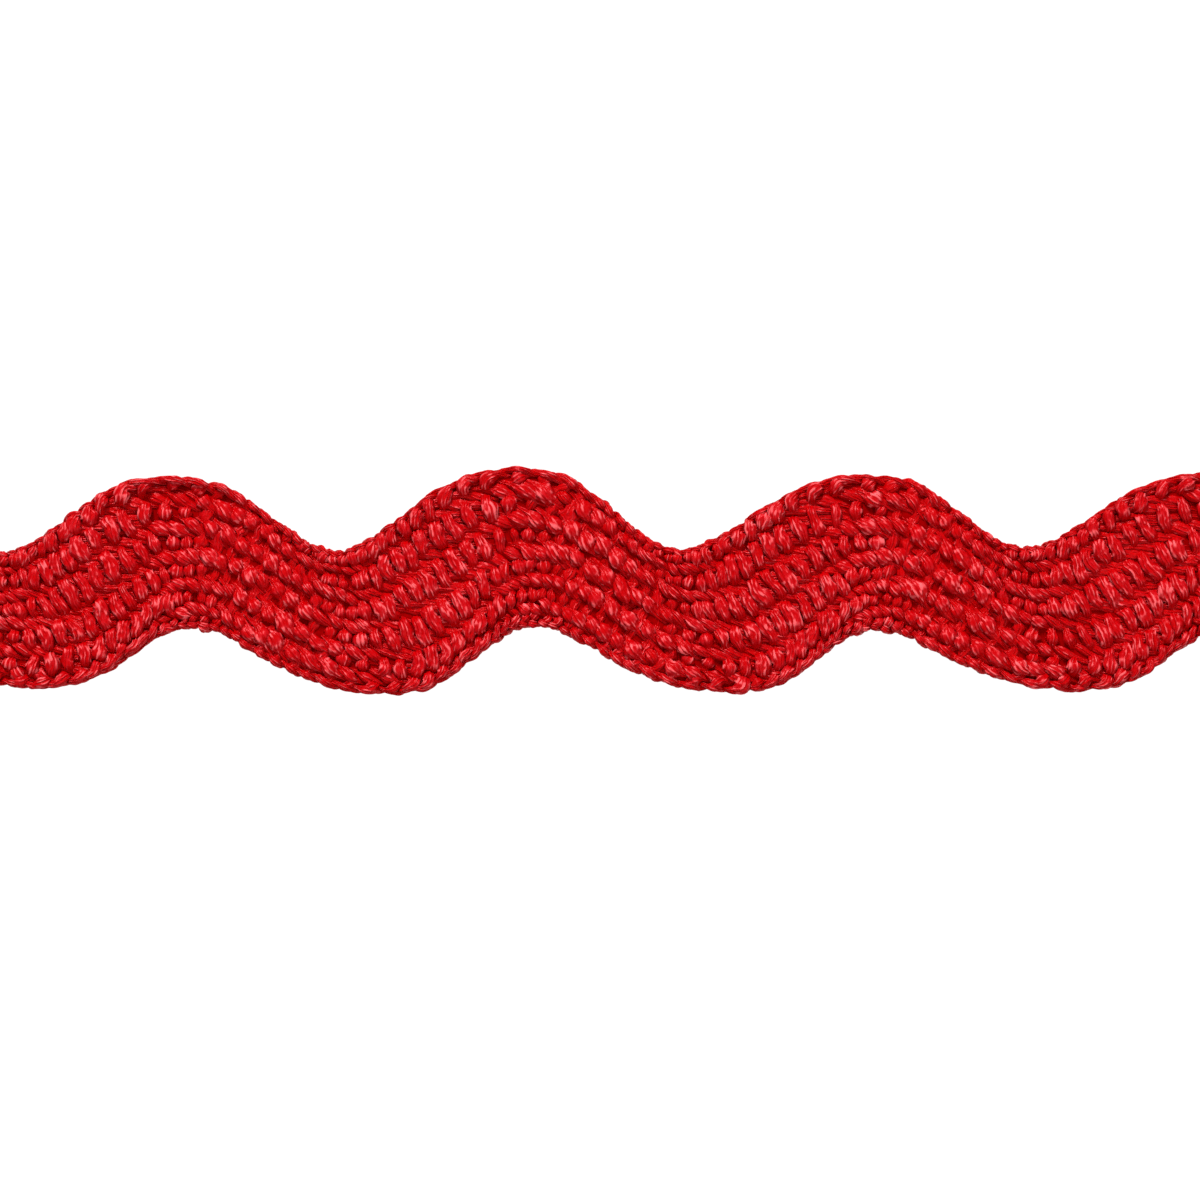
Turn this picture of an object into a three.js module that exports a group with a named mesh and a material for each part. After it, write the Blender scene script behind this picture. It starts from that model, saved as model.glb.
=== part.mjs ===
import * as THREE from 'three';

// A cut length of jumbo ric rac: a flat braid whose edges swing from side to
// side in a steady wave. Millimetres. +X runs along the trim, +Y is the side
// that the crests turn to, +Z is up, and the flat underside lies on Z = 0.

// Driving dimensions
const BRAID_THICKNESS = 1.5;      // highest rib above the surface it lies on
const SELVEDGE_THICKNESS = 1.0;   // at the two woven edges
const RIB_COUNT = 8;              // rows of stitches that run side by side along the trim
const RIB_RELIEF = 0.2;           // a rib's top above the groove beside it
const CREST_CURL = 0.12;          // extra height of the outer edge where the braid turns
const UPPER_ROUNDNESS = 1.3;      // 1 is a plain sine; more gives broad crests, sharp troughs
const LOWER_ROUNDNESS = 1.38;     // the same for the lower edge, with troughs broad
const SIDE_HEIGHT_SHARE = 0.45;   // where the edge is widest, as a share of its thickness
const SHOULDER_INSET = 0.022;     // share of the width over which the top edge rounds off
const UNDERSIDE_INSET = 0.035;    // the same for the underside

// Steps of the surface
const STEPS_PER_TURN = 10;        // along, from one turn of the wave to the next
const STEPS_PER_RIB = 4;          // across, over one rib

// One row for each turn of the wave, from the left cut end to the right one.
// The upper and lower columns are where the two edges reach that turn.
const TURNS = [
  { turn: 'crest', upperX: -49.45, upperY: 6.56, lowerX: -48.02, lowerY: -2.99 },
  { turn: 'trough', upperX: -38.41, upperY: 1.72, lowerX: -36.98, lowerY: -6.65 },
  { turn: 'crest', upperX: -27.99, upperY: 6.4, lowerX: -26.32, lowerY: -2.93 },
  { turn: 'trough', upperX: -17.45, upperY: 1.87, lowerX: -15.04, lowerY: -7.0 },
  { turn: 'crest', upperX: -6.6, upperY: 7.0, lowerX: -5.18, lowerY: -2.82 },
  { turn: 'trough', upperX: 3.88, upperY: 1.93, lowerX: 6.36, lowerY: -6.89 },
  { turn: 'crest', upperX: 15.1, upperY: 6.56, lowerX: 16.03, lowerY: -3.11 },
  { turn: 'trough', upperX: 25.33, upperY: 2.05, lowerX: 27.81, lowerY: -6.77 },
  { turn: 'crest', upperX: 36.61, upperY: 6.75, lowerX: 38.04, lowerY: -2.93 },
  { turn: 'trough', upperX: 47.46, upperY: 1.91, lowerX: 49.45, lowerY: -6.89 },
];
const LAST_TURN = TURNS.length - 1;

// Smooth value of one column at a place between two turns (a Catmull-Rom curve).
function smoothColumn(column, place) {
  const start = Math.min(Math.floor(place), LAST_TURN - 1);
  const share = place - start;
  const here = TURNS[start][column];
  const next = TURNS[start + 1][column];
  const before = start > 0 ? TURNS[start - 1][column] : 2 * here - next;
  const after = start + 2 <= LAST_TURN ? TURNS[start + 2][column] : 2 * next - here;
  const slope = next - before;
  const bend = 2 * before - 5 * here + 4 * next - after;
  const twist = 3 * here - before - 3 * next + after;
  return here + 0.5 * share * (slope + share * (bend + share * twist));
}

// Height of an edge between two turns: broad at the turn that it bulges to,
// and sharper at the other one.
function waveColumn(column, place, broadTurn, roundness) {
  const start = Math.min(Math.floor(place), LAST_TURN - 1);
  const share = place - start;
  const startsBroad = TURNS[start].turn === broadTurn;
  const broad = startsBroad ? TURNS[start] : TURNS[start + 1];
  const sharp = startsBroad ? TURNS[start + 1] : TURNS[start];
  const fromBroad = startsBroad ? share : 1 - share;
  const blend = 0.5 - 0.5 * Math.cos(Math.PI * fromBroad ** roundness);
  return broad[column] + (sharp[column] - broad[column]) * blend;
}

// Where the upper and the lower edge are, at a place along the wave.
function edgePoints(place) {
  return {
    upper: new THREE.Vector2(
      smoothColumn('upperX', place),
      waveColumn('upperY', place, 'crest', UPPER_ROUNDNESS),
    ),
    lower: new THREE.Vector2(
      smoothColumn('lowerX', place),
      waveColumn('lowerY', place, 'trough', LOWER_ROUNDNESS),
    ),
  };
}

// 1 at a crest and -1 at a trough, turning smoothly between them.
function swingAt(place) {
  const firstSwing = TURNS[0].turn === 'crest' ? 1 : -1;
  return firstSwing * Math.cos(Math.PI * place);
}

// Height of the top face: a low swell across the braid, ribs along it, and a
// slight curl of the edge on the outside of each turn.
function topHeight(place, across) {
  const swell = Math.sin(Math.PI * across) ** 0.6;
  const groove = 1 - Math.abs(Math.sin(Math.PI * RIB_COUNT * across));
  const outside = 0.5 + 0.5 * swingAt(place) * Math.cos(Math.PI * across);
  const curl = CREST_CURL * outside * Math.abs(Math.cos(Math.PI * across)) ** 3;
  const ground = SELVEDGE_THICKNESS + (BRAID_THICKNESS - SELVEDGE_THICKNESS) * swell;
  return ground + curl - RIB_RELIEF * groove * swell;
}

// One closed section at a place along the wave, as { across, height } pairs,
// from the underside round the upper edge, over the ribs and round the lower edge.
function sectionAt(place) {
  const section = [{ across: UNDERSIDE_INSET, height: 0 }];
  section.push({ across: 0, height: topHeight(place, 0) * SIDE_HEIGHT_SHARE });
  const columns = RIB_COUNT * STEPS_PER_RIB;
  for (let column = 0; column <= columns; column += 1) {
    const share = column / columns;
    const across = SHOULDER_INSET + (1 - 2 * SHOULDER_INSET) * share;
    section.push({ across, height: topHeight(place, share) });
  }
  section.push({ across: 1, height: topHeight(place, 1) * SIDE_HEIGHT_SHARE });
  section.push({ across: 1 - UNDERSIDE_INSET, height: 0 });
  return section;
}

// Faces that close a cut end, wound so that they look towards -X.
function endFaces(section) {
  const contour = section.map(({ across, height }) => new THREE.Vector2(across, height));
  return THREE.ShapeUtils.triangulateShape(contour, []);
}

// The whole braid as one closed surface: a ring of points for each step along
// the wave, joined to the next ring, with both cut ends closed.
function buildBraid() {
  const steps = LAST_TURN * STEPS_PER_TURN;
  const positions = [];
  const sections = [];
  for (let step = 0; step <= steps; step += 1) {
    const place = step / STEPS_PER_TURN;
    const { upper, lower } = edgePoints(place);
    const section = sectionAt(place);
    sections.push(section);
    for (const { across, height } of section) {
      const point = upper.clone().lerp(lower, across);
      positions.push(point.x, point.y, height);
    }
  }
  const around = sections[0].length;
  const faces = [];
  for (let step = 0; step < steps; step += 1) {
    for (let side = 0; side < around; side += 1) {
      const next = (side + 1) % around;
      const a = step * around + side;
      const b = step * around + next;
      const c = (step + 1) * around + next;
      const d = (step + 1) * around + side;
      faces.push(a, b, c, a, c, d);
    }
  }
  for (const [a, b, c] of endFaces(sections[0])) {
    faces.push(a, b, c);
  }
  const lastRing = steps * around;
  for (const [a, b, c] of endFaces(sections[steps])) {
    faces.push(lastRing + a, lastRing + c, lastRing + b);
  }
  const geometry = new THREE.BufferGeometry();
  geometry.setAttribute('position', new THREE.Float32BufferAttribute(positions, 3));
  geometry.setIndex(faces);
  geometry.computeVertexNormals();
  return geometry;
}

const redYarn = new THREE.MeshStandardMaterial({
  color: 0xb51219,
  roughness: 0.6,
  metalness: 0,
});

const braid = new THREE.Mesh(buildBraid(), redYarn);
braid.name = 'braid';

const ricRac = new THREE.Group();
ricRac.add(braid);

export default ricRac;
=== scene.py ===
"""Cut length of red ric rac trim, lying flat, braided yarn by yarn.

Everything is in metres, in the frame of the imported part: +X along the trim, +Y across it, +Z up.
"""
import logging
import math
from dataclasses import dataclass, field
from enum import Enum

import bpy
import numpy as np
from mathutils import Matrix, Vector


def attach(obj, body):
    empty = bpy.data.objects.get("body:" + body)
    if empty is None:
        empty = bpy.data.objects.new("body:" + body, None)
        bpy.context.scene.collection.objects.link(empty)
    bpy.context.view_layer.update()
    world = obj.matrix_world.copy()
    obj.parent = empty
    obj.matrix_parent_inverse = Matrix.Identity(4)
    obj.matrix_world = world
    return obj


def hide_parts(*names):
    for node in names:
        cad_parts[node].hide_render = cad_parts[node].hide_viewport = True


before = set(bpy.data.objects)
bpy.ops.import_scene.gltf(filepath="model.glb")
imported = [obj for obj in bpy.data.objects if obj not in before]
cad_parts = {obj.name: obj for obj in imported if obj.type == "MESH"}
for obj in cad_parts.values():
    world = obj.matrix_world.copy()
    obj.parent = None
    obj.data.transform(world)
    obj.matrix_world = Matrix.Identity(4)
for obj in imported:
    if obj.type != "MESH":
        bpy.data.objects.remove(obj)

LOG = logging.getLogger("ric_rac")
MM = 0.001
BODY = "root"
CAD_NODE = "braid"
MIDDLE_HEIGHT = 0.74 * MM  # middle of the braid's thickness above the floor
PLIES = 9  # in a yarn
TURNS_PER_WAVE = 2  # a crest and a trough

Array = np.ndarray
Socket = bpy.types.NodeSocket
Colour = tuple[float, float, float, float]
Place = tuple[float, float, float]

WHITE: Colour = (1.0, 1.0, 1.0, 1.0)


class Turn(Enum):
    """Which way the braid bulges where its wave turns."""

    CREST = "crest"
    TROUGH = "trough"


@dataclass(frozen=True)
class WaveRow:
    """One turn of the wave: where the upper and the lower edge reach it, in millimetres."""

    turn: Turn
    upper_x: float
    upper_y: float
    lower_x: float
    lower_y: float


WAVE_ROWS = (
    WaveRow(Turn.CREST, -49.45, 6.56, -48.02, -2.99),
    WaveRow(Turn.TROUGH, -38.41, 1.72, -36.98, -6.65),
    WaveRow(Turn.CREST, -27.99, 6.4, -26.32, -2.93),
    WaveRow(Turn.TROUGH, -17.45, 1.87, -15.04, -7.0),
    WaveRow(Turn.CREST, -6.6, 7.0, -5.18, -2.82),
    WaveRow(Turn.TROUGH, 3.88, 1.93, 6.36, -6.89),
    WaveRow(Turn.CREST, 15.1, 6.56, 16.03, -3.11),
    WaveRow(Turn.TROUGH, 25.33, 2.05, 27.81, -6.77),
    WaveRow(Turn.CREST, 36.61, 6.75, 38.04, -2.93),
    WaveRow(Turn.TROUGH, 47.46, 1.91, 49.45, -6.89),
)


@dataclass
class WavyBand:
    """The flat outline of the trim, as a map from (place, across) to a point.

    place counts the turns of the wave from the left end, across runs from 0 on the upper edge
    to 1 on the lower one.
    """

    rows: tuple[WaveRow, ...] = WAVE_ROWS
    upper_roundness: float = 1.3  # 1 is a plain cosine; more is broad at crests, sharp at troughs
    lower_roundness: float = 1.38  # the same for the lower edge, broad at troughs
    strips: int = 399  # in which the area is summed

    @property
    def last_place(self) -> float:
        """The place of the right end."""
        return float(len(self.rows) - 1)

    @property
    def last_wave(self) -> float:
        """Waves from the left end to the right one."""
        return self.last_place / TURNS_PER_WAVE

    def column(self, name: str) -> Array:
        """One column of the rows, in millimetres."""
        return np.array([getattr(row, name) for row in self.rows])

    def smooth_column(self, name: str, place: Array) -> Array:
        """A column between its rows, on a Catmull-Rom curve that goes on straight past both ends.

        Args:
            name: the column.
            place: places along the wave.

        Returns:
            The column's value at each place, in millimetres.
        """
        values = self.column(name)
        first = 2 * values[0] - values[1]
        last = 2 * values[-1] - values[-2]
        padded = np.concatenate([[first], values, [last]])
        start = np.clip(np.floor(place).astype(int), 0, len(values) - 2)
        share = place - start
        before, here, after, beyond = (padded[start + step] for step in range(4))
        slope = after - before
        bend = 2 * before - 5 * here + 4 * after - beyond
        twist = 3 * here - before - 3 * after + beyond
        return here + 0.5 * share * (slope + share * (bend + share * twist))

    def wave_column(self, name: str, place: Array, broad: Turn, roundness: float) -> Array:
        """Height of an edge: a cosine from turn to turn, its share raised to roundness.

        Args:
            name: the column of the edge's height.
            place: places along the wave.
            broad: the turn at which this edge is broad; it is sharp at the other one.
            roundness: 1 is a plain cosine, more is broader at the broad turn.

        Returns:
            The edge's height at each place, in millimetres.
        """
        values = self.column(name)
        is_broad = np.array([row.turn is broad for row in self.rows])
        start = np.clip(np.floor(place).astype(int), 0, len(values) - 2)
        share = np.clip(place - start, 0.0, 1.0)
        broad_first = is_broad[start]
        broad_value = np.where(broad_first, values[start], values[start + 1])
        sharp_value = np.where(broad_first, values[start + 1], values[start])
        from_broad = np.where(broad_first, share, 1 - share)
        blend = 0.5 - 0.5 * np.cos(np.pi * from_broad**roundness)
        return broad_value + (sharp_value - broad_value) * blend

    def point(self, place: Array, across: Array) -> Array:
        """Points of the flat band, on the straight line between its two edges.

        Args:
            place: places along the wave.
            across: shares of the width, from the upper edge.

        Returns:
            Points in metres, with x and y in the last axis.
        """
        upper_x = self.smooth_column("upper_x", place)
        lower_x = self.smooth_column("lower_x", place)
        upper_y = self.wave_column("upper_y", place, Turn.CREST, self.upper_roundness)
        lower_y = self.wave_column("lower_y", place, Turn.TROUGH, self.lower_roundness)
        x = upper_x + (lower_x - upper_x) * across
        y = upper_y + (lower_y - upper_y) * across
        return np.stack([x, y], axis=-1) * MM

    def area(self) -> float:
        """Area of the flat band: half the sum of the cross products round its outline.

        Returns:
            The area in square metres.
        """
        place = np.linspace(0.0, self.last_place, self.strips + 1)
        upper = self.point(place, np.zeros_like(place))
        lower = self.point(place, np.ones_like(place))
        ring = np.concatenate([upper, lower[::-1]])
        ahead = np.roll(ring, -1, axis=0)
        return float(abs(np.sum(ring[:, 0] * ahead[:, 1] - ahead[:, 0] * ring[:, 1])) / 2)


def smooth_step(value: Array, low: float, high: float) -> Array:
    """0 below low and 1 above high, between them 3 s squared less 2 s cubed.

    Args:
        value: the values.
        low: where the change starts.
        high: where it ends.

    Returns:
        Shares, 0 to 1.
    """
    share = np.clip((value - low) / (high - low), 0, 1)
    return share * share * (3 - 2 * share)


@dataclass(frozen=True)
class SmoothNoise:
    """A smooth random curve around zero, another for each yarn: a sum of seeded sine waves."""

    seed: int  # to which the yarn's number is added
    shortest: float  # length of the shortest wave
    longest: float  # length of the longest one
    waves: int = 9
    least_weight: float = 0.5  # of a wave; the greatest is 1

    def at(self, position: Array, number: int) -> Array:
        """Value of a yarn's curve at each position.

        Args:
            position: positions, in the unit of the lengths.
            number: the yarn's number.

        Returns:
            The values, about -1 to 1.
        """
        draws = np.random.default_rng(self.seed + number)
        lengths = np.geomspace(self.shortest, self.longest, self.waves)
        phases = draws.uniform(0, 2 * np.pi, self.waves)
        weights = draws.uniform(self.least_weight, 1.0, self.waves)
        angle = 2 * np.pi * position[..., None] / lengths + phases
        return np.sum(weights * np.sin(angle), axis=-1) / np.sqrt(np.sum(weights**2) * 2)


@dataclass
class BraidLattice:
    """How the yarns of a two-over, two-under flat braid run in the wavy band.

    A yarn crosses the band from the upper edge to the lower one and back once in each wave.
    crossing counts the yarns that it has crossed, down and up in turn. wave counts the waves of
    the trim from its left end. A float is the stretch in which a yarn lies over the others.
    """

    band: WavyBand
    carriers: int = 25  # yarns in the braid, and crossings from edge to edge
    edge_round: float = 2.0  # crossings over which a turn at an edge is rounded
    turn_blend: float = 0.3  # crossings over which a yarn changes from down to up

    # Where the rows of crossings lie across the band, as shares of its width
    upper_inset: float = 0.003  # from the upper edge to the outermost row
    upper_rising_inset: float = 0.037  # added to it on rising slopes
    lower_inset: float = 0.043  # the same two for the lower edge
    lower_rising_inset: float = -0.053
    crowding: float = 0.85  # how far the inner rows move on rising slopes
    crowding_start: float = 0.2  # rows past this share move down, the others up

    # How far a line of equal steps leans along the trim, in waves
    lean: float = 0.39  # from the upper edge to the lower one
    lean_swing: float = 0.14  # more on rising slopes, less on falling ones
    lean_curve: float = 0.2  # the line's bend on rising slopes, like an S
    lean_bow: float = 0.185  # its bend there, like a bow
    bow_middle: float = 0.6  # share of the rows at the middle of the bow
    bow_level: float = 0.01  # so that the bow leaves the middle row in its place
    lean_rounds: int = 9  # of substitution
    float_slant: float = 0.011  # of a float that runs down

    # Heights of the yarns above and below the middle of the braid
    middle_height: float = MIDDLE_HEIGHT
    float_height: float = 0.37 * MM  # of the floats that stand out
    sunk_height: float = -0.08 * MM  # of those that lie sunk
    edge_height: float = 0.3 * MM  # of all at an edge
    edge_reach: float = 2.2  # crossings over which an edge's height fades
    stand_out_full: float = 0.6  # share of its slope at which a float has its full height

    # Shapes of the floats: short domes on falling slopes, long barrels on rising ones
    long_float_start: float = 0.4  # share of a rising slope at which the barrels begin
    long_float_full: float = 0.9  # and at which they are full
    rising_bias: float = 0.82  # shift that makes a barrel longer than the gap after it
    rising_flatness: float = 2.2  # how level it is along its top
    falling_peak: float = 2.1  # how sharp a dome is
    dome_swelling: float = 0.5  # how much wider a dome is in its middle than at its ends
    float_swelling: float = 0.2  # the same for a barrel

    # The curl of the edges, the edge that stands up at one crest, and the groove below the edge
    edge_curl: float = 0.08 * MM
    lift: float = 0.32 * MM
    lift_wave: float = 1.04  # where that crest is
    lift_length: float = 0.15  # waves over which the lift fades
    lift_rows: float = 4.0  # crossings from the upper edge over which it fades
    lift_hollow: float = 2.6  # depth of the hollow below it, in depths of the groove
    groove_depth: float = 0.14 * MM
    groove_row: float = 3.4  # crossings from the upper edge to the middle of the groove
    groove_rows: float = 1.6  # crossings over which it fades

    @property
    def span(self) -> int:
        """Crossings in a whole wave, down and back up."""
        return 2 * self.carriers

    def rise(self, wave: Array) -> Array:
        """1 in the middle of a rising slope, -1 in the middle of a falling one."""
        return -np.sin(2 * np.pi * wave)

    def rising(self, wave: Array) -> Array:
        """0 in the middle of a falling slope, 1 in the middle of a rising one."""
        return 0.5 + 0.5 * self.rise(wave)

    def long_float(self, wave: Array) -> Array:
        """0 where the floats are domes, 1 where they are barrels."""
        return smooth_step(self.rising(wave), self.long_float_start, self.long_float_full)

    def signed_count(self, crossing: Array) -> Array:
        """Crossings since the nearest turn at the upper edge, or before it if negative."""
        return (crossing + self.carriers) % self.span - self.carriers

    def count(self, crossing: Array) -> Array:
        """Crossings between the yarn and the upper edge: a triangle wave."""
        return np.abs(self.signed_count(crossing))

    def phase(self, crossing: Array) -> Array:
        """Angle of the over and under, with a whole turn in four crossings."""
        return 0.5 * np.pi * (self.count(crossing) - 0.5)

    def row(self, crossing: Array) -> Array:
        """Where the yarn lies across the band: its count, the turns rounded by exponentials.

        Args:
            crossing: crossings along the yarn.

        Returns:
            Rows from the upper edge.
        """
        from_top = self.count(crossing)
        from_bottom = self.carriers - from_top
        rounded = from_top + self.edge_round * np.exp(-from_top / self.edge_round)
        return rounded - self.edge_round * np.exp(-from_bottom / self.edge_round)

    def downward(self, crossing: Array) -> Array:
        """Which way the yarn runs, blended at its turns by logistic curves.

        Args:
            crossing: crossings along the yarn.

        Returns:
            1 where it runs down the band, 0 where it runs back up.
        """
        past_top = self.signed_count(crossing)
        past_bottom = crossing % self.span - self.carriers
        after_top = 1 / (1 + np.exp(-past_top / self.turn_blend))
        before_bottom = 1 / (1 + np.exp(past_bottom / self.turn_blend))
        return np.where(np.abs(past_top) < self.carriers / 2, after_top, before_bottom)

    def at_edge(self, crossing: Array, reach: float) -> Array:
        """How near the yarn is to its turn at an edge: a bell curve of its crossings from it.

        Args:
            crossing: crossings along the yarn.
            reach: crossings over which it fades.

        Returns:
            1 at an edge, falling to 0.
        """
        row = self.count(crossing)
        from_edge = np.minimum(row, self.carriers - row)
        return np.exp(-((from_edge / reach) ** 2))

    def wave_at(self, step: Array, share: Array) -> Array:
        """Where a point of the braid lies along the waves.

        The braid's own steps lean: a line of equal steps lies further along on the lower edge
        than on the upper one, and more so on a rising slope. There it is also bent, by a sine and
        a parabola of the share. Solved by repeated substitution.

        Args:
            step: braid steps in waves.
            share: share of the rows, from the upper edge.

        Returns:
            Waves from the left end.
        """
        bow = self.lean_bow * ((share - self.bow_middle) ** 2 - self.bow_level)
        bend = self.lean_curve * np.sin(2 * np.pi * share) / (2 * np.pi) + bow
        wave = step
        for _ in range(self.lean_rounds):
            lean = (share - 0.5) * (self.lean + self.lean_swing * self.rise(wave))
            wave = step + lean - bend * self.rising(wave)
        return wave

    def flat_point(self, step: Array, share: Array) -> tuple[Array, Array]:
        """Point of the band for braid steps and a share of the rows.

        The rows lie evenly between the two insets. On rising slopes those between move by a cubic
        of their place, which leaves the outermost ones where they are.

        Args:
            step: braid steps in waves.
            share: share of the rows, from the upper edge.

        Returns:
            The point in metres, and its waves from the left end.
        """
        wave = self.wave_at(step, share)
        rising = self.rising(wave)
        margin = self.edge_round / self.carriers
        spread = (share - margin) / (1 - 2 * margin)
        crowded = self.crowding * rising * (spread - self.crowding_start)
        spread = spread + crowded * spread * (1 - spread)
        upper = self.upper_inset + self.upper_rising_inset * rising
        lower = 1 - self.lower_inset - self.lower_rising_inset * rising
        across = upper + (lower - upper) * spread
        return self.band.point(TURNS_PER_WAVE * wave, across), wave

    def level(self, crossing: Array, wave: Array) -> Array:
        """The over and under of a yarn that runs down; one that runs up has it turned over.

        It is a cosine over four crossings: raised to a power on falling slopes, and shifted and
        flattened by a hyperbolic tangent on rising ones.

        Args:
            crossing: crossings along the yarn.
            wave: waves from the left end.

        Returns:
            1 on top of the others, -1 below them.
        """
        beat = np.cos(self.phase(crossing))
        inside = 1 - self.at_edge(crossing, self.edge_reach)
        bias = self.rising_bias * self.rising(wave) * inside
        flattened = np.tanh(self.rising_flatness * (beat - bias))
        flattened = flattened / np.tanh(self.rising_flatness * (1 + bias))
        peaked = np.sign(beat) * np.abs(beat) ** self.falling_peak
        return peaked + self.long_float(wave) * (flattened - peaked)

    def height(self, crossing: Array, wave: Array) -> Array:
        """Height of a yarn's middle.

        The yarns that run down the band stand high on falling slopes, as short domes. Those that
        run up stand high on rising slopes and cover more than half of the face there. The others
        lie sunk between. The edges curl up a little outside each turn, and lift at one crest. A
        groove runs below the upper edge on falling slopes, and deeper below the lift.

        Args:
            crossing: crossings along the yarn.
            wave: waves from the left end.

        Returns:
            Heights in metres.
        """
        row = self.count(crossing)
        rising = self.rising(wave)
        level = self.level(crossing, wave)
        at_edge = self.at_edge(crossing, self.edge_reach)
        sunk = self.sunk_height + (self.edge_height - self.sunk_height) * at_edge
        standing = self.float_height - sunk
        down_height = sunk + standing * smooth_step(1 - rising, 0.0, self.stand_out_full)
        up_height = sunk + standing * smooth_step(rising, 0.0, self.stand_out_full)
        down = self.downward(crossing)
        side = np.cos(np.pi * row / self.carriers)
        outside = 0.5 + 0.5 * np.cos(2 * np.pi * wave) * side
        curl = self.edge_curl * outside * np.abs(side) ** 3
        near_lift = np.exp(-(((wave - self.lift_wave) / self.lift_length) ** 2))
        curl = curl + self.lift * near_lift * np.clip(1 - row / self.lift_rows, 0, 1)
        groove = np.exp(-(((row - self.groove_row) / self.groove_rows) ** 2))
        sinking = self.groove_depth * groove * np.maximum(1 - rising, self.lift_hollow * near_lift)
        curl = curl - sinking * (0.5 + 0.5 * level)
        return self.middle_height + curl + level * (down * down_height - (1 - down) * up_height)

    def swelling(self, crossing: Array, wave: Array) -> Array:
        """How much wider than usual a yarn is, by the squared cosine of its over and under.

        Args:
            crossing: crossings along the yarn.
            wave: waves from the left end.

        Returns:
            More than 1 in the middle of a float, less between floats.
        """
        long_float = self.long_float(wave)
        swelling = self.dome_swelling * (1 - long_float) + self.float_swelling * long_float
        return 1 + (np.cos(self.phase(crossing)) ** 2 - 0.5) * swelling


@dataclass
class YarnPath:
    """The middle line of one stretch of yarn, with one entry for each ring of the tube."""

    points: Array
    half_width: Array
    half_height: Array
    twist: Array  # angle by which the plies are turned
    length: Array  # metres along the yarn
    shade: Array  # -1 to 1, darker to lighter


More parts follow.
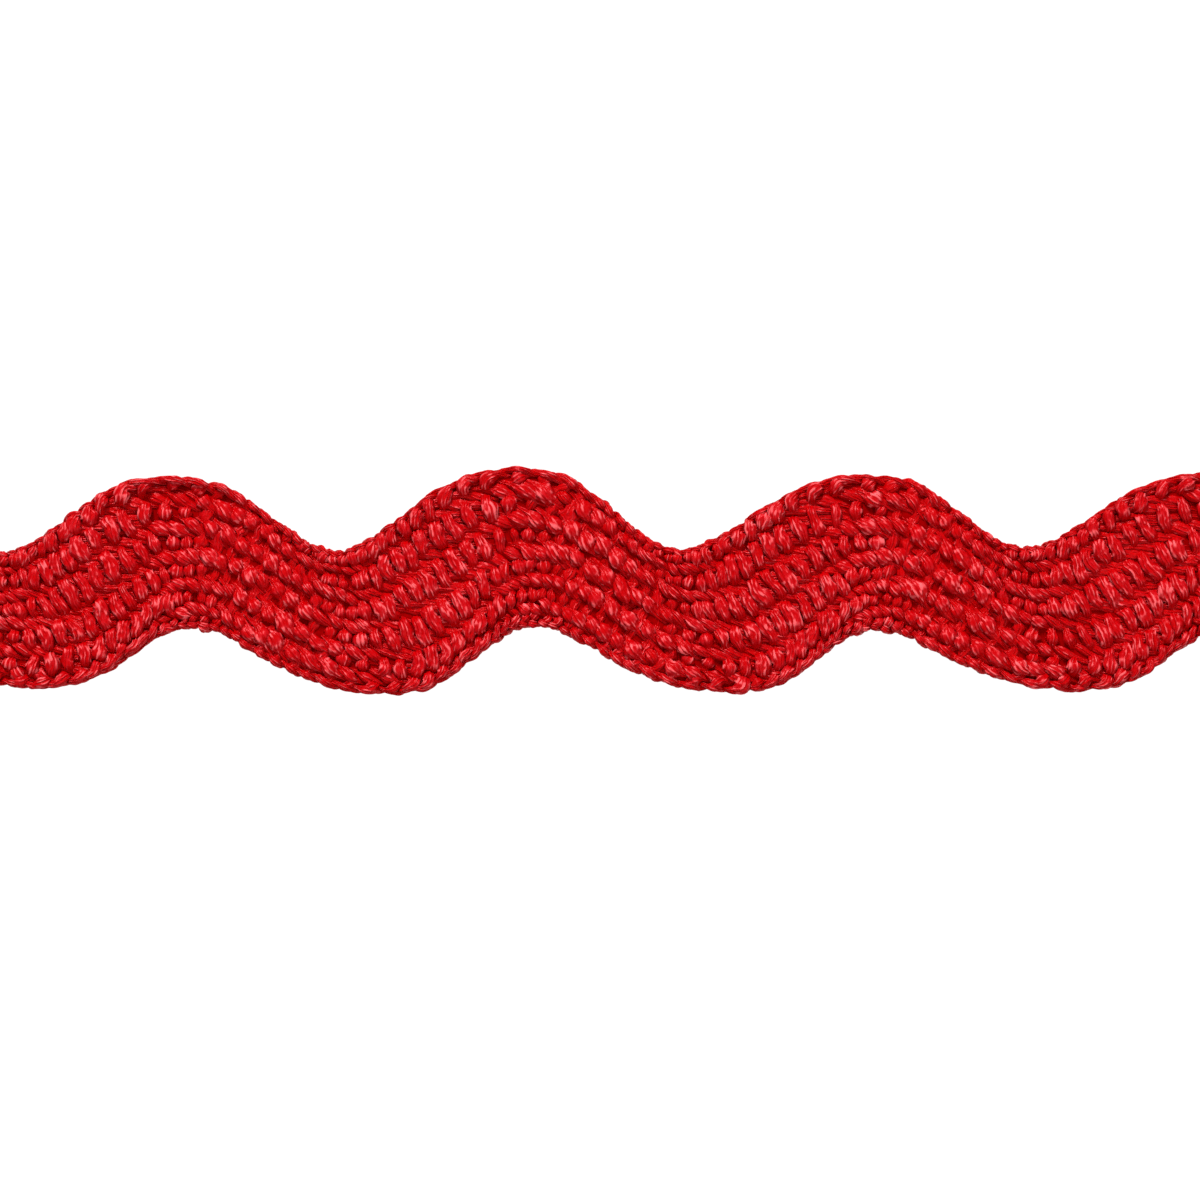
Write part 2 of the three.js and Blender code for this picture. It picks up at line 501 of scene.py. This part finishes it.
@dataclass
class BraidYarn:
    """One yarn of the braid: a bundle of plies that follows its route over and under."""

    lattice: BraidLattice
    number: int

    # Steps of the surface
    points_per_ply: int = 2
    down_steps: int = 126  # rings from the upper edge to the lower one
    up_steps: int = 104  # and back up
    spare_waves: int = 2  # by which the route runs past both ends before it is cut
    least_rings: int = 4  # in a stretch that is kept

    # The bundle, with its width as a share of the room for one yarn
    plies: int = PLIES
    ply_depth: float = 0.24  # of the groove beside a ply, as a share of the yarn's size
    ply_unevenness: float = 0.06  # how far each wave of a ply stands out or sinks
    ply_waves: int = 3
    ply_pace: tuple[float, float] = (1.5, 5.0)  # slowest and fastest wave, radians in a mm
    twist_per_mm: float = 0.35
    down_share: float = 1.3  # width of a yarn that runs down
    down_falling_share: float = 0.65  # added on falling slopes
    down_turn_share: float = 0.3  # taken off at crests and troughs
    up_share: float = 0.72  # width of a yarn that runs up
    up_rising_share: float = 0.55  # added on rising slopes
    least_half_width: float = 0.2 * MM
    least_added: float = 0.04 * MM  # to the least half width at the edges
    width_limit: float = 0.44 * MM  # greatest half width
    turn_thinning: float = 0.14  # share of the limit that is missing at crests and troughs
    edge_thinning: float = 0.12  # share of the width that is missing at the edges
    half_thickness: float = 0.22 * MM
    edge_reach: float = 1.5  # crossings over which an edge's own widths fade

    # How unlike the other yarns it is
    swell: SmoothNoise = SmoothNoise(seed=100, shortest=3.5, longest=20.0)
    width_unevenness: float = 0.24
    thickness_unevenness: float = 0.12
    height_drift: float = 0.06 * MM
    wobble: SmoothNoise = SmoothNoise(seed=0, shortest=3.0, longest=20.0)
    drift: float = 0.15 * MM  # sideways
    drift_calm: float = 0.4  # share of the drift that is missing at the edges
    drift_reach: float = 2.0  # crossings over which that fades
    shift: SmoothNoise = SmoothNoise(seed=200, shortest=3.0, longest=30.0)
    float_shift: float = 0.38  # crossings by which a float comes early or late
    ply_seed: int = 500  # to which the yarn's number is added

    # The slant of a float that runs down, as a share of the braid's own
    slant_usual: float = 0.7
    slant_swing: float = 0.3  # more on falling slopes, less on rising ones

    @property
    def name(self) -> str:
        """Name of the piece."""
        return f"yarn_{self.number + 1:02d}"

    @property
    def around(self) -> int:
        """Points in a ring of the tube."""
        return self.plies * self.points_per_ply

    def crossings(self) -> Array:
        """Crossings at which the yarn gets a ring, finer where it runs down.

        Returns:
            Crossings along the whole route.
        """
        carriers = self.lattice.carriers
        down = np.linspace(0, carriers, self.down_steps, endpoint=False)
        up = np.linspace(carriers, self.lattice.span, self.up_steps, endpoint=False)
        cycle = np.concatenate([down, up])
        last_cycle = math.ceil(self.lattice.band.last_wave) + self.spare_waves
        cycles = np.arange(-self.spare_waves, last_cycle)
        return (cycles[:, None] * self.lattice.span + cycle).ravel()

    def flat_route(self, crossing: Array, sideways: float) -> tuple[Array, Array]:
        """The route seen from above: half a braid step for each crossing.

        Args:
            crossing: crossings along the yarn.
            sideways: shift to the neighbouring yarns, in yarns.

        Returns:
            Points in metres, and waves from the left end.
        """
        lattice = self.lattice
        step = (self.number + sideways + crossing / 2) / lattice.carriers
        slant = lattice.float_slant * (self.slant_usual - self.slant_swing * lattice.rise(step))
        slant = slant * np.sin(lattice.phase(crossing))
        slant = slant * (1 - lattice.at_edge(crossing, self.edge_reach))
        step = step - slant * lattice.downward(crossing)
        return lattice.flat_point(step, lattice.row(crossing) / lattice.carriers)

    def spacing(self, crossing: Array, along: Array) -> Array:
        """Room for one yarn between its neighbours, square to it.

        Args:
            crossing: crossings along the yarn.
            along: the yarn's direction at each of them, seen from above.

        Returns:
            Widths in metres.
        """
        beside = self.flat_route(crossing, 0.5)[0] - self.flat_route(crossing, -0.5)[0]
        return np.abs(along[:, 0] * beside[:, 1] - along[:, 1] * beside[:, 0])

    def widths(self, crossing: Array, spacing: Array, wave: Array) -> Array:
        """Half of the yarn's width: its share of the room, kept between two limits.

        Args:
            crossing: crossings along the yarn.
            spacing: room for one yarn.
            wave: waves from the left end.

        Returns:
            Half widths in metres.
        """
        down = self.lattice.downward(crossing)
        rising = self.lattice.rising(wave)
        near_turn = 1 - self.lattice.rise(wave) ** 2
        down_share = self.down_share + self.down_falling_share * (1 - rising)
        down_share = down_share - self.down_turn_share * near_turn
        up_share = self.up_share + self.up_rising_share * rising
        share = down * down_share + (1 - down) * up_share
        at_edge = self.lattice.at_edge(crossing, self.edge_reach)
        least = self.least_half_width + self.least_added * at_edge
        most = self.width_limit * (1 - self.turn_thinning * near_turn)
        return np.clip(0.5 * spacing * share, least, most) * (1 - self.edge_thinning * at_edge)

    def path(self) -> list[YarnPath]:
        """The stretches of the yarn between the two cut ends of the trim.

        Returns:
            The stretches, from left to right.
        """
        crossing = self.crossings()
        flat, wave = self.flat_route(crossing, 0.0)
        along = np.gradient(flat, axis=0)
        along /= np.linalg.norm(along, axis=1, keepdims=True)
        wobble = self.wobble.at(crossing, self.number)
        swell = self.swell.at(crossing, self.number)
        shifted = crossing + self.float_shift * self.shift.at(crossing, self.number)
        half_width = self.widths(crossing, self.spacing(crossing, along), wave)
        half_width = half_width * (1 + self.width_unevenness * swell)
        half_width = half_width * self.lattice.swelling(shifted, wave)
        half_height = self.half_thickness * (1 + self.thickness_unevenness * swell)
        side = np.stack([-along[:, 1], along[:, 0]], axis=1)
        calm = self.drift_calm * self.lattice.at_edge(crossing, self.drift_reach)
        flat = flat + side * (wobble * self.drift * (1 - calm))[:, None]
        height = self.lattice.height(shifted, wave) + self.height_drift * swell
        points = np.concatenate([flat, height[:, None]], axis=1)
        steps = np.linalg.norm(np.diff(points, axis=0), axis=1)
        length = np.concatenate([[0.0], np.cumsum(steps)])
        twist = length / MM * self.twist_per_mm + self.number
        inside = (wave > 0.0) & (wave < self.lattice.band.last_wave)
        starts = np.flatnonzero(inside & ~np.roll(inside, 1))
        stops = np.flatnonzero(inside & ~np.roll(inside, -1)) + 1
        pairs = [pair for pair in zip(starts, stops) if pair[1] - pair[0] >= self.least_rings]
        columns = (points, half_width, half_height, twist, length, swell)
        return [YarnPath(*(column[first:stop] for column in columns)) for first, stop in pairs]

    def ply_profile(self, length: Array) -> Array:
        """Radius of the bundle at each ring and point round it.

        A ply's radius is 1 and a sum of sine waves along the yarn. In the groove beside it the
        radius is the smaller one of the two plies, less the depth.

        Args:
            length: length of the path at each ring, in metres.

        Returns:
            Radii, one row for each ring.
        """
        draws = np.random.default_rng(self.number + self.ply_seed)
        phase = draws.uniform(0, 2 * np.pi, (self.ply_waves, self.plies))
        pace = draws.uniform(*self.ply_pace, (self.ply_waves, self.plies))
        waves = np.sin(length[:, None, None] / MM * pace + phase).sum(axis=1)
        ply = 1 + self.ply_unevenness * waves
        groove = np.minimum(ply, np.roll(ply, 1, axis=1)) - self.ply_depth
        columns = [groove] + [ply] * (self.points_per_ply - 1)
        return np.stack(columns, axis=2).reshape(len(length), -1)

    def tube(self, path: YarnPath) -> Array:
        """A stretch as rings of points: an oval section with plies, turned slowly along the path.

        Args:
            path: the stretch.

        Returns:
            The vertices, ring after ring.
        """
        forward = np.gradient(path.points, axis=0)
        forward /= np.linalg.norm(forward, axis=1, keepdims=True)
        side = np.cross(np.array([0.0, 0.0, 1.0]), forward)
        side /= np.linalg.norm(side, axis=1, keepdims=True)
        top = np.cross(forward, side)
        angle = 2 * np.pi * np.arange(self.around) / self.around + path.twist[:, None]
        radius = self.ply_profile(path.length)
        out_side = (radius * np.cos(angle) * path.half_width[:, None])[..., None] * side[:, None]
        out_top = (radius * np.sin(angle) * path.half_height[:, None])[..., None] * top[:, None]
        return (path.points[:, None] + out_side + out_top).reshape(-1, 3)

    def build(self, finish: "YarnFinish") -> bpy.types.Object:
        """Make the yarn's mesh from all its stretches and dress it.

        Args:
            finish: the yarn's finish.

        Returns:
            The yarn's object.
        """
        around = self.around
        paths = self.path()
        counts = [len(path.points) for path in paths]
        offsets = np.cumsum([0] + counts[:-1]) * around
        sides = np.concatenate([ring_faces(n, around) + o for n, o in zip(counts, offsets)])
        ends = np.concatenate([end_faces(n, around) + o for n, o in zip(counts, offsets)])
        vertices = np.concatenate([self.tube(path) for path in paths])
        mesh = mesh_from_arrays(self.name, vertices, sides, ends)
        along = np.repeat(np.concatenate([path.length for path in paths]), around) / MM
        shade = np.repeat(np.concatenate([path.shade for path in paths]), around)
        add_float_attribute(mesh, "shade", shade)
        add_uvs(mesh, np.concatenate([tube_uvs(faces, along, around) for faces in (sides, ends)]))
        mesh.materials.append(finish.material())
        return place_piece(self.name, mesh)


def ring_faces(rings: int, around: int) -> Array:
    """Faces of four corners between the rings of a tube, looking outwards.

    Args:
        rings: number of rings.
        around: points in a ring.

    Returns:
        Corner numbers, one row for each face.
    """
    ring, point = np.meshgrid(np.arange(rings - 1), np.arange(around), indexing="ij")
    ahead = (point + 1) % around
    corners = [ring * around + point, ring * around + ahead]
    corners += [(ring + 1) * around + ahead, (ring + 1) * around + point]
    return np.stack(corners, axis=-1).reshape(-1, 4)


def end_faces(rings: int, around: int) -> Array:
    """The two flat faces that close a tube, looking outwards.

    Args:
        rings: number of rings.
        around: points in a ring.

    Returns:
        Corner numbers, one row for each end.
    """
    first = np.arange(around)[::-1]
    return np.stack([first, (rings - 1) * around + np.arange(around)])


def tube_uvs(faces: Array, along: Array, around: int) -> Array:
    """Texture places of a tube's face corners: millimetres along, and turns around.

    Args:
        faces: corner numbers, one row for each face.
        along: millimetres along the yarn at each vertex.
        around: points in a ring.

    Returns:
        Texture places, one row for each corner.
    """
    turn = (faces % around) / around
    is_side = faces.shape[1] == 4
    over_the_seam = (turn == 0) & (turn.max(axis=1, keepdims=True) > 0.5) & is_side
    turn = np.where(over_the_seam, 1.0, turn)
    return np.stack([along[faces], turn], axis=-1).reshape(-1, 2)


def mesh_from_arrays(
    name: str, vertices: Array, sides: Array, ends: Array | None = None
) -> bpy.types.Mesh:
    """A mesh from arrays, its sides shaded smooth and its ends flat.

    Args:
        name: name of the mesh.
        vertices: points in metres.
        sides: corner numbers, one row for each side face.
        ends: corner numbers, one row for each end face.

    Returns:
        The mesh.
    """
    groups = [sides] if ends is None else [sides, ends]
    corners = np.concatenate([group.ravel() for group in groups])
    sizes = np.concatenate([np.full(len(group), group.shape[1]) for group in groups])
    mesh = bpy.data.meshes.new(name)
    mesh.vertices.add(len(vertices))
    mesh.vertices.foreach_set("co", vertices.astype(np.float32).ravel())
    mesh.loops.add(len(corners))
    mesh.loops.foreach_set("vertex_index", corners.astype(np.int32))
    mesh.polygons.add(len(sizes))
    mesh.polygons.foreach_set("loop_start", (np.cumsum(sizes) - sizes).astype(np.int32))
    mesh.polygons.foreach_set("use_smooth", np.arange(len(sizes)) < len(sides))
    mesh.update(calc_edges=True)
    mesh.validate()
    return mesh


def add_float_attribute(mesh: bpy.types.Mesh, name: str, values: Array) -> None:
    """Store one number for each vertex under a name."""
    attribute = mesh.attributes.new(name, "FLOAT", "POINT")
    attribute.data.foreach_set("value", values.astype(np.float32))


def add_uvs(mesh: bpy.types.Mesh, places: Array) -> None:
    """Store a texture place for each face corner."""
    layer = mesh.uv_layers.new(name="along_yarn")
    layer.uv.foreach_set("vector", places.astype(np.float32).ravel())


def place_piece(name: str, mesh: bpy.types.Mesh) -> bpy.types.Object:
    """Put a mesh into the scene as an object at the origin.

    Args:
        name: name of the object.
        mesh: its mesh.

    Returns:
        The object.
    """
    piece = bpy.data.objects.new(name, mesh)
    bpy.context.scene.collection.objects.link(piece)
    return piece


@dataclass
class BraidGround:
    """The pressed middle of the braid, where the yarns meet: a thin closed band of cloth."""

    band: WavyBand
    name: str = "braid_ground"
    low: float = 0.66 * MM
    high: float = 0.8 * MM
    inset: float = 0.03  # from each edge of the trim, as a share of its width
    end_inset: float = 0.03  # from each cut end, in turns of the wave
    edge_share: float = 0.3  # thickness at the band's edges, as a share of that in its middle
    roundness: float = 0.5  # power of the sine that swells from edge to edge
    steps_per_turn: int = 24
    columns: int = 16

    def build(self, finish: "PaintedShadeGroundFinish") -> bpy.types.Object:
        """Make the band as a ring of points carried along the wave, with closed ends.

        Its thickness swells from edge to edge by a power of a sine.

        Args:
            finish: the band's finish.

        Returns:
            The band's object.
        """
        steps = int(self.band.last_place * self.steps_per_turn) + 1
        place = np.linspace(self.end_inset, self.band.last_place - self.end_inset, steps)
        share = np.linspace(0, 1, self.columns)
        across = np.concatenate([share, share[::-1]])
        across = self.inset + (1 - 2 * self.inset) * across
        swell = np.sin(np.pi * share) ** self.roundness
        middle = (self.low + self.high) / 2
        half = (self.high - self.low) / 2 * (self.edge_share + (1 - self.edge_share) * swell)
        height = np.concatenate([middle + half, (middle - half)[::-1]])
        flat = self.band.point(place[:, None], np.broadcast_to(across, (steps, len(across))))
        level = np.broadcast_to(height, (steps, len(height)))[..., None]
        vertices = np.concatenate([flat, level], axis=-1).reshape(-1, 3)
        sides = ring_faces(steps, len(across))
        ends = end_faces(steps, len(across))
        mesh = mesh_from_arrays(self.name, vertices, sides, ends)
        mesh.materials.append(finish.material())
        return place_piece(self.name, mesh)


@dataclass
class Nodes:
    """Short calls for making shader nodes in one tree."""

    tree: bpy.types.NodeTree

    def add(self, kind: str, **settings: object) -> bpy.types.Node:
        """Add a node and set its properties.

        Args:
            kind: the node's type name.
            **settings: its properties.

        Returns:
            The node.
        """
        node = self.tree.nodes.new(kind)
        for name, value in settings.items():
            setattr(node, name, value)
        return node

    def link(self, source: Socket, target: Socket) -> None:
        """Join an output to an input."""
        self.tree.links.new(source, target)

    def total(self, *parts: tuple[float, Socket]) -> Socket:
        """Weighted sum of sockets.

        Args:
            *parts: pairs of a weight and a socket.

        Returns:
            The sum's socket.
        """
        scaled = [self.math("MULTIPLY", socket, weight) for weight, socket in parts]
        result = scaled[0]
        for socket in scaled[1:]:
            result = self.math("ADD", result, socket)
        return result

    def math(self, operation: str, first: Socket | float, second: Socket | float = 0.0) -> Socket:
        """The result of a Math node.

        Args:
            operation: what it does, such as MULTIPLY.
            first: the first input, a socket or a number.
            second: the second input, which some operations don't read.

        Returns:
            The result's socket.
        """
        node = self.add("ShaderNodeMath", operation=operation)
        for socket, value in zip(node.inputs, (first, second)):
            if isinstance(value, Socket):
                self.link(value, socket)
            else:
                socket.default_value = value
        return node.outputs[0]


@dataclass(frozen=True)
class FibreNoise:
    """How fine one noise of the fibres is."""

    along: float  # changes in a millimetre
    around: float  # changes in a turn
    detail: float  # layers of finer noise


@dataclass(frozen=True)
class FibreStreaksAndPaintedLight:
    """Shader node group: threads and fine streaks of fibre along a yarn, darker in its hollows.
    Its tone holds painted light: painted shade in the hollows and in the grooves between plies,
    painted highlight on raised yarns, ply ridges and bright streaks.
    """

    name: str = "fibre_streaks_and_painted_light"
    streak: FibreNoise = FibreNoise(along=2.3, around=14.0, detail=1.0)
    fine: FibreNoise = FibreNoise(along=2.6, around=34.0, detail=2.0)
    blotch: FibreNoise = FibreNoise(along=0.7, around=1.6, detail=2.0)

    # How much each adds to the tone. Relief, threads and streaks add painted light: a low tone is
    # painted shade, a high tone painted highlight
    base_tone: float = -0.06
    relief_painted_light_tone: float = 0.5
    thread_painted_light_tone: float = 0.25
    streak_grain_and_painted_glint_tone: float = 2.0
    blotch_tone: float = 0.4
    shade_tone: float = 0.08

    # How much each adds to the height
    thread_height: float = 0.4
    streak_height: float = 1.2
    fine_height: float = 0.1

    def group(self) -> bpy.types.NodeTree:
        """The node group, built once.

        Its inputs are Along, Around, Shade and Relief, and its outputs Tone, which holds painted
        shade and painted highlight, and Height.

        Returns:
            The group's tree.
        """
        known = bpy.data.node_groups.get(self.name)
        if known:
            return known
        tree = bpy.data.node_groups.new(self.name, "ShaderNodeTree")
        face = tree.interface
        for socket in ("Along", "Around", "Shade", "Relief"):
            face.new_socket(name=socket, in_out="INPUT", socket_type="NodeSocketFloat")
        for socket in ("Tone", "Height"):
            face.new_socket(name=socket, in_out="OUTPUT", socket_type="NodeSocketFloat")
        nodes = Nodes(tree)
        given = nodes.add("NodeGroupInput").outputs
        result = nodes.add("NodeGroupOutput")
        along = given["Along"]
        around = given["Around"]
        streak = self.noise(nodes, self.streak, along, around)
        fine = self.noise(nodes, self.fine, along, around)
        blotch = self.noise(nodes, self.blotch, along, around)
        wave = nodes.math("SINE", nodes.math("MULTIPLY", around, PLIES * math.pi))
        thread = nodes.math("ABSOLUTE", wave)
        height = nodes.total(
            (self.thread_height, thread),
            (self.streak_height, streak),
            (self.fine_height, fine),
        )
        # Tone: painted highlight on raised yarns, ply ridges and streaks, painted shade in hollows
        # and ply grooves, plus random blotches and a random tone for each yarn
        tone = nodes.total(
            (self.relief_painted_light_tone, given["Relief"]),
            (self.thread_painted_light_tone, thread),
            (self.streak_grain_and_painted_glint_tone, streak),
            (self.blotch_tone, blotch),
            (self.shade_tone, given["Shade"]),
        )
        usual_noise = (self.streak_grain_and_painted_glint_tone + self.blotch_tone) / 2
        centred = nodes.math("ADD", tone, self.base_tone - usual_noise)
        nodes.link(height, result.inputs["Height"])
        nodes.link(centred, result.inputs["Tone"])
        return tree

    def noise(self, nodes: Nodes, kind: FibreNoise, along: Socket, around: Socket) -> Socket:
        """Noise stretched along the yarn, read on a circle so that it closes around the yarn.

        Args:
            nodes: the tree to work in.
            kind: how fine the noise is.
            along: millimetres along the yarn.
            around: turns around the yarn.

        Returns:
            The noise, 0 to 1.
        """
        angle = nodes.math("MULTIPLY", around, 2 * math.pi)
        radius = kind.around / (2 * math.pi)
        place = nodes.add("ShaderNodeCombineXYZ")
        nodes.link(nodes.math("MULTIPLY", along, kind.along), place.inputs["X"])
        nodes.link(nodes.math("MULTIPLY", nodes.math("COSINE", angle), radius), place.inputs["Y"])
        nodes.link(nodes.math("MULTIPLY", nodes.math("SINE", angle), radius), place.inputs["Z"])
        texture = nodes.add("ShaderNodeTexNoise", noise_dimensions="3D")
        texture.inputs["Scale"].default_value = 1.0
        texture.inputs["Detail"].default_value = kind.detail
        nodes.link(place.outputs[0], texture.inputs["Vector"])
        return texture.outputs["Fac"]


@dataclass(frozen=True)
class YarnFinish:
    """Glossy red filament yarn."""

    name: str = "glossy_red_filament"

    # Colours from the lowest tone to the highest, and the tones of the middle two. The two highest
    # colours, pink and light, are painted highlight; the two lowest are the yarn's deep red
    hollow: Colour = (0.54, 0.0002, 0.001, 1.0)
    body: Colour = (0.5, 0.0004, 0.002, 1.0)
    crown_painted_highlight: Colour = (0.56, 0.006, 0.011, 1.0)
    painted_glint: Colour = (0.95, 0.12, 0.13, 1.0)
    body_tone: float = 0.45
    crown_painted_highlight_tone: float = 0.72

    highlight: Colour = (1.0, 0.3, 0.33, 1.0)
    roughness: float = 0.3
    specular: float = 0.25
    bump_depth: float = 0.12 * MM
    # Where the painted light by relief starts, and over what height it grows
    relief_start: float = 0.1 * MM  # above or below the middle of the braid
    relief_length: float = 0.36 * MM

    def material(self) -> bpy.types.Material:
        """The material, built once.

        Returns:
            The material.
        """
        known = bpy.data.materials.get(self.name)
        if known:
            return known
        material = bpy.data.materials.new(self.name)
        material.use_nodes = True
        nodes = Nodes(material.node_tree)
        shader = material.node_tree.nodes["Principled BSDF"]
        shader.inputs["Roughness"].default_value = self.roughness
        shader.inputs["Specular IOR Level"].default_value = self.specular
        shader.inputs["Specular Tint"].default_value = self.highlight
        uv = nodes.add("ShaderNodeUVMap", uv_map="along_yarn")
        split = nodes.add("ShaderNodeSeparateXYZ")
        nodes.link(uv.outputs["UV"], split.inputs["Vector"])
        shade = nodes.add("ShaderNodeAttribute", attribute_name="shade")
        streaks = nodes.add("ShaderNodeGroup", node_tree=FibreStreaksAndPaintedLight().group())
        nodes.link(split.outputs["X"], streaks.inputs["Along"])
        nodes.link(split.outputs["Y"], streaks.inputs["Around"])
        nodes.link(shade.outputs["Fac"], streaks.inputs["Shade"])
        nodes.link(self.painted_light_relief(nodes), streaks.inputs["Relief"])
        # The ramp turns the tone into colour: a low tone gives the deep red, a high tone the pink
        # painted highlight
        ramp = nodes.add("ShaderNodeValToRGB")
        ramp.color_ramp.elements[0].color = self.hollow
        ramp.color_ramp.elements[1].color = self.painted_glint
        ramp.color_ramp.elements.new(self.body_tone).color = self.body
        ramp.color_ramp.elements.new(self.crown_painted_highlight_tone).color = self.crown_painted_highlight
        nodes.link(streaks.outputs["Tone"], ramp.inputs["Fac"])
        nodes.link(ramp.outputs["Color"], shader.inputs["Base Color"])
        bump = nodes.add("ShaderNodeBump")
        bump.inputs["Strength"].default_value = 1.0
        bump.inputs["Distance"].default_value = self.bump_depth
        nodes.link(streaks.outputs["Height"], bump.inputs["Height"])
        nodes.link(bump.outputs["Normal"], shader.inputs["Normal"])
        return material

    def painted_light_relief(self, nodes: Nodes) -> Socket:
        """How far a point stands out of the middle of the braid, on either face. It masks the
        painted light: painted shade in the hollows, painted highlight on raised yarns.

        Args:
            nodes: the tree to work in.

        Returns:
            0 deep inside the braid, 1 on the yarns that stand out.
        """
        place = nodes.add("ShaderNodeTexCoord")
        axes = nodes.add("ShaderNodeSeparateXYZ")
        nodes.link(place.outputs["Object"], axes.inputs["Vector"])
        above = nodes.math("SUBTRACT", axes.outputs["Z"], MIDDLE_HEIGHT)
        past_start = nodes.math("SUBTRACT", nodes.math("ABSOLUTE", above), self.relief_start)
        share = nodes.math("DIVIDE", past_start, self.relief_length)
        return nodes.math("MINIMUM", nodes.math("MAXIMUM", share, 0.0), 1.0)


@dataclass(frozen=True)
class PaintedShadeGroundFinish:
    """The same yarn seen deep between the stitches: darker, as painted shade in the gaps, and
    dull.
    """

    name: str = "red_filament_painted_shade"
    # Two colours of random grain, both painted darker than the yarn as painted shade between the
    # stitches
    dark: Colour = (0.18, 0.0002, 0.0006, 1.0)
    light: Colour = (0.38, 0.0004, 0.001, 1.0)
    roughness: float = 0.8
    grain: float = 2600.0  # changes in a metre

    def material(self) -> bpy.types.Material:
        """The material, built once.

        Returns:
            The material.
        """
        known = bpy.data.materials.get(self.name)
        if known:
            return known
        material = bpy.data.materials.new(self.name)
        material.use_nodes = True
        nodes = Nodes(material.node_tree)
        shader = material.node_tree.nodes["Principled BSDF"]
        shader.inputs["Roughness"].default_value = self.roughness
        shader.inputs["Specular IOR Level"].default_value = 0.0
        place = nodes.add("ShaderNodeTexCoord")
        texture = nodes.add("ShaderNodeTexNoise")
        texture.inputs["Scale"].default_value = self.grain
        nodes.link(place.outputs["Object"], texture.inputs["Vector"])
        ramp = nodes.add("ShaderNodeValToRGB")
        ramp.color_ramp.elements[0].color = self.dark
        ramp.color_ramp.elements[1].color = self.light
        nodes.link(texture.outputs["Fac"], ramp.inputs["Fac"])
        nodes.link(ramp.outputs["Color"], shader.inputs["Base Color"])
        return material


@dataclass(frozen=True)
class Lamp:
    """A square soft light that looks at the trim."""

    name: str
    place: Place
    side: float  # metres
    power: float  # watts

    def build(self) -> None:
        """Hang the light at its place, turned to the origin."""
        data = bpy.data.lights.new(self.name, "AREA")
        data.size = self.side
        data.energy = self.power
        light = bpy.data.objects.new(self.name, data)
        light.location = self.place
        light.rotation_euler = (-Vector(self.place)).to_track_quat("-Z", "Y").to_euler()
        bpy.context.scene.collection.objects.link(light)


@dataclass
class Studio:
    """Floor, lights and the camera that looks straight down."""

    frame_width: float = 74.4 * MM
    aim: Place = (-0.9 * MM, -1.25 * MM, 1.0 * MM)
    lens: float = 100.0  # millimetres
    nearest: float = 5 * MM  # distance from which the camera sees
    floor_size: float = 2.0
    floor_colour: Colour = (0.1, 0.1, 0.1, 1.0)
    daylight: float = 0.47  # strength of the white surroundings
    lamps: tuple[Lamp, ...] = (
        Lamp("key_light", place=(-0.12, 0.5, 0.4), side=0.2, power=4.8),
        Lamp("fill_light", place=(0.3, -0.25, 0.5), side=0.5, power=1.0),
    )

    def camera(self) -> None:
        """A camera straight above, its frame as wide as the stretch that the view takes in."""
        data = bpy.data.cameras.new("camera")
        data.lens = self.lens
        data.clip_start = self.nearest
        distance = self.frame_width * self.lens / data.sensor_width
        camera = bpy.data.objects.new("camera", data)
        camera.location = Vector(self.aim) + Vector((0, 0, distance))
        bpy.context.scene.collection.objects.link(camera)
        bpy.context.scene.camera = camera

    def floor(self) -> None:
        """A plain floor whose own glow keeps it white in the frame."""
        half = self.floor_size / 2
        corners = np.array([[-1, -1, 0], [1, -1, 0], [1, 1, 0], [-1, 1, 0]]) * half
        mesh = mesh_from_arrays("floor", corners, np.array([[0, 1, 2, 3]]))
        material = bpy.data.materials.new("white_floor")
        material.use_nodes = True
        shader = material.node_tree.nodes["Principled BSDF"]
        shader.inputs["Base Color"].default_value = self.floor_colour
        shader.inputs["Roughness"].default_value = 1.0
        shader.inputs["Specular IOR Level"].default_value = 0.0
        shader.inputs["Emission Color"].default_value = WHITE
        shader.inputs["Emission Strength"].default_value = 1.0
        mesh.materials.append(material)
        place_piece("floor", mesh)

    def surroundings(self) -> None:
        """Plain white all round, which shows in no highlight."""
        world = bpy.data.worlds.new("surroundings")
        world.use_nodes = True
        background = world.node_tree.nodes["Background"]
        background.inputs["Color"].default_value = WHITE
        background.inputs["Strength"].default_value = self.daylight
        world.cycles_visibility.glossy = False
        bpy.context.scene.world = world

    def build(self) -> None:
        """Set up the camera, the floor, the lights and the surroundings."""
        self.camera()
        self.floor()
        for lamp in self.lamps:
            lamp.build()
        self.surroundings()
        bpy.context.scene.view_settings.view_transform = "Standard"


@dataclass
class RicRac:
    """The whole cut length: every yarn of the braid, and the ground."""

    band: WavyBand = field(default_factory=WavyBand)

    def build_yarns(self) -> list[bpy.types.Object]:
        """Build every yarn.

        Returns:
            The yarns' objects.
        """
        lattice = BraidLattice(self.band)
        yarns = []
        for number in range(lattice.carriers):
            yarn = BraidYarn(lattice, number).build(YarnFinish())
            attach(yarn, BODY)
            yarns.append(yarn)
            LOG.info("%s: %d faces", yarn.name, len(yarn.data.polygons))
        return yarns

    def build_ground(self, yarns: list[bpy.types.Object]) -> None:
        """Args:
            yarns: the yarns' objects, not used.
        """
        ground = BraidGround(self.band).build(PaintedShadeGroundFinish())
        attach(ground, BODY)
        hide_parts(CAD_NODE)
        self.band.area()
        LOG.info("%s: %d faces", ground.name, len(ground.data.polygons))

    def build(self) -> None:
        """Build every piece."""
        self.build_ground(self.build_yarns())


def main() -> None:
    """Build the studio and the trim, in order."""
    logging.basicConfig(level=logging.INFO, format="%(message)s")
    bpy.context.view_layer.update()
    Studio().build()
    RicRac().build()


if __name__ == "__main__":
    main()
